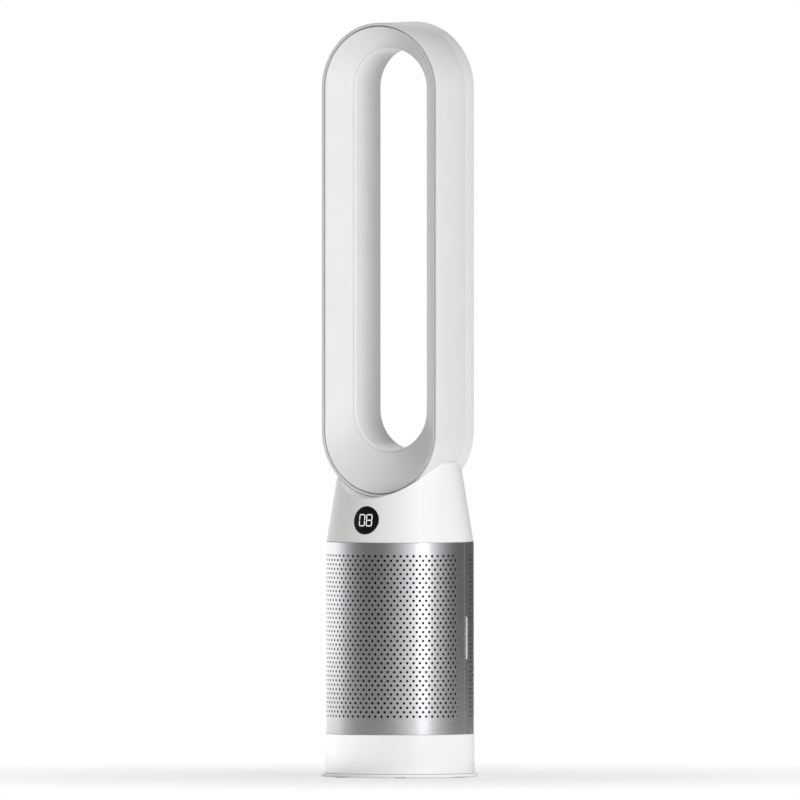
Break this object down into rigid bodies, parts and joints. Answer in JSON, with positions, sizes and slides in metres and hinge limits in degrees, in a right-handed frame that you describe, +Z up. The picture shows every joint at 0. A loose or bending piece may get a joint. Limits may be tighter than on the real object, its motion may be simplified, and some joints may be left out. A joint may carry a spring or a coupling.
{
  "type": "bladeless fan",
  "caption": "Free-standing bladeless tower fan: a tall open loop on a tapered neck, a perforated filter drum with two lift-off shrouds and a round base that turns on its foot.",
  "frame": {"origin": "on the floor, in the middle of the foot and on the axis that the fan turns about", "axes": "+Z up; the front of the loop, with the display, faces -Y; +X is the right-hand side seen from behind"},
  "size_m": [0.218, 0.2298, 1.05],
  "materials": {
    "foot_plate": "satin white ABS",
    "foot_pads": "light grey rubber",
    "cord_housing": "satin white ABS",
    "cord_gland": "light grey rubber",
    "oscillation_ring_gear": "natural acetal",
    "slide_ring": "white acetal",
    "retaining_ring": "spring steel",
    "turntable": "grey glass-filled nylon",
    "base_shell": "semi-gloss white ABS",
    "oscillation_motor": "zinc-plated can",
    "oscillation_pinion": "natural acetal",
    "power_board": "circuit board with components",
    "lower_deck": "white ABS",
    "filter_cage": "white ABS",
    "side_pillar_right": "light grey ABS",
    "side_pillar_left": "light grey ABS",
    "motor_lead": "red sleeved lead",
    "deck_screws": "zinc-plated steel",
    "shroud_front": "satin silver, perforated",
    "shroud_rear": "satin silver, perforated",
    "fine_filter_frame_front": "dark grey ABS",
    "fine_filter_frame_rear": "dark grey ABS",
    "fine_filter_pleats_front": "pleated glass-fibre paper",
    "fine_filter_pleats_rear": "pleated glass-fibre paper",
    "dust_screen_front": "black net",
    "dust_screen_rear": "black net",
    "carbon_filter_front": "carbon granules in a mesh",
    "carbon_filter_rear": "carbon granules in a mesh",
    "release_button_right": "white ABS",
    "release_button_left": "white ABS",
    "button_spring_right": "steel wire",
    "button_spring_left": "steel wire",
    "upper_deck": "white ABS",
    "intake_bellmouth": "grey ABS",
    "rubber_mounts": "black rubber",
    "motor_bucket": "grey ABS",
    "acoustic_foam": "open-cell foam",
    "impeller": "dark grey glass-filled nylon",
    "motor_shaft": "ground steel",
    "motor_bearings": "bearing steel",
    "diffuser": "grey ABS",
    "motor_stator": "copper windings on steel",
    "motor_cover": "grey ABS",
    "neck_duct": "grey ABS",
    "neck_seal": "black rubber",
    "loop_brackets": "plain aluminium",
    "upper_body": "semi-gloss white ABS",
    "display_window": "black glossy window",
    "display_module": "black module",
    "display_board": "circuit board",
    "loop_outer_shell": "satin white ABS",
    "loop_rear_shell": "satin white ABS",
    "loop_front_nozzle": "satin white ABS",
    "loop_inner_wall": "satin white ABS",
    "loop_ribs": "white ABS"
  },
  "bodies": {
    "foot": {"foot_plate": "foot_plate", "foot_pads": "foot_pads", "cord_housing": "cord_housing", "cord_gland": "cord_gland", "oscillation_ring_gear": "oscillation_ring_gear", "slide_ring": "slide_ring", "retaining_ring": "retaining_ring"},
    "tower": {"turntable": "turntable", "base_shell": "base_shell", "oscillation_motor": "oscillation_motor", "power_board": "power_board", "lower_deck": "lower_deck", "filter_cage": "filter_cage", "side_pillar_right": "side_pillar_right", "side_pillar_left": "side_pillar_left", "motor_lead": "motor_lead", "deck_screws": "deck_screws", "button_spring_right": "button_spring_right", "button_spring_left": "button_spring_left", "upper_deck": "upper_deck", "intake_bellmouth": "intake_bellmouth", "rubber_mounts": "rubber_mounts", "motor_bucket": "motor_bucket", "acoustic_foam": "acoustic_foam", "motor_bearings": "motor_bearings", "diffuser": "diffuser", "motor_stator": "motor_stator", "motor_cover": "motor_cover", "neck_duct": "neck_duct", "neck_seal": "neck_seal", "loop_brackets": "loop_brackets", "upper_body": "upper_body", "display_board": "display_board", "loop_outer_shell": "loop_outer_shell", "loop_rear_shell": "loop_rear_shell", "loop_front_nozzle": "loop_front_nozzle", "loop_inner_wall": "loop_inner_wall", "loop_ribs": "loop_ribs"},
    "pinion": {"oscillation_pinion": "oscillation_pinion"},
    "rotor": {"impeller": "impeller", "motor_shaft": "motor_shaft"},
    "front_shroud": {"shroud_front": "shroud_front", "fine_filter_frame_front": "fine_filter_frame_front", "fine_filter_pleats_front": "fine_filter_pleats_front", "dust_screen_front": "dust_screen_front"},
    "rear_shroud": {"shroud_rear": "shroud_rear", "fine_filter_frame_rear": "fine_filter_frame_rear", "fine_filter_pleats_rear": "fine_filter_pleats_rear", "dust_screen_rear": "dust_screen_rear"},
    "front_carbon": {"carbon_filter_front": "carbon_filter_front"},
    "rear_carbon": {"carbon_filter_rear": "carbon_filter_rear"},
    "right_button": {"release_button_right": "release_button_right"},
    "left_button": {"release_button_left": "release_button_left"},
    "display_button": {"display_window": "display_window", "display_module": "display_module"}
  },
  "joints": [
    {"name": "oscillation", "type": "hinge", "parent": "foot", "child": "tower", "pos_m": [0, 0, 0], "axis": [0, 0, 1], "range_deg": [-175, 175]},
    {"name": "pinion_spin", "type": "hinge", "parent": "tower", "child": "pinion", "pos_m": [0, 0.045, 0], "axis": [0, 0, 1], "range_deg": [-700, 700]},
    {"name": "impeller_spin", "type": "hinge", "parent": "tower", "child": "rotor", "pos_m": [0, 0, 0.34], "axis": [0, 0, 1], "continuous": true},
    {"name": "front_shroud_pull", "type": "slide", "parent": "tower", "child": "front_shroud", "axis": [0, -1, 0], "range_m": [0, 0.12]},
    {"name": "rear_shroud_pull", "type": "slide", "parent": "tower", "child": "rear_shroud", "axis": [0, 1, 0], "range_m": [0, 0.12]},
    {"name": "front_carbon_pull", "type": "slide", "parent": "tower", "child": "front_carbon", "axis": [0, -1, 0], "range_m": [0, 0.06]},
    {"name": "rear_carbon_pull", "type": "slide", "parent": "tower", "child": "rear_carbon", "axis": [0, 1, 0], "range_m": [0, 0.06]},
    {"name": "right_button_press", "type": "slide", "parent": "tower", "child": "right_button", "axis": [-1, 0, 0], "range_m": [0, 0.0025], "stiffness_N_per_m": 800, "springref_m": -0.002, "deforming": ["button_spring_right"]},
    {"name": "left_button_press", "type": "slide", "parent": "tower", "child": "left_button", "axis": [1, 0, 0], "range_m": [0, 0.0025], "stiffness_N_per_m": 800, "springref_m": -0.002, "deforming": ["button_spring_left"]},
    {"name": "display_press", "type": "slide", "parent": "tower", "child": "display_button", "axis": [0, 0.987, -0.1605], "range_m": [0, 0.0008], "stiffness_N_per_m": 1500, "springref_m": -0.001}
  ],
  "couplings": [
    {"joint": "pinion_spin", "follows": "oscillation", "ratio": 4},
    {"joint": "front_carbon_pull", "follows": "front_shroud_pull", "ratio": 0.5},
    {"joint": "rear_carbon_pull", "follows": "rear_shroud_pull", "ratio": 0.5}
  ]
}
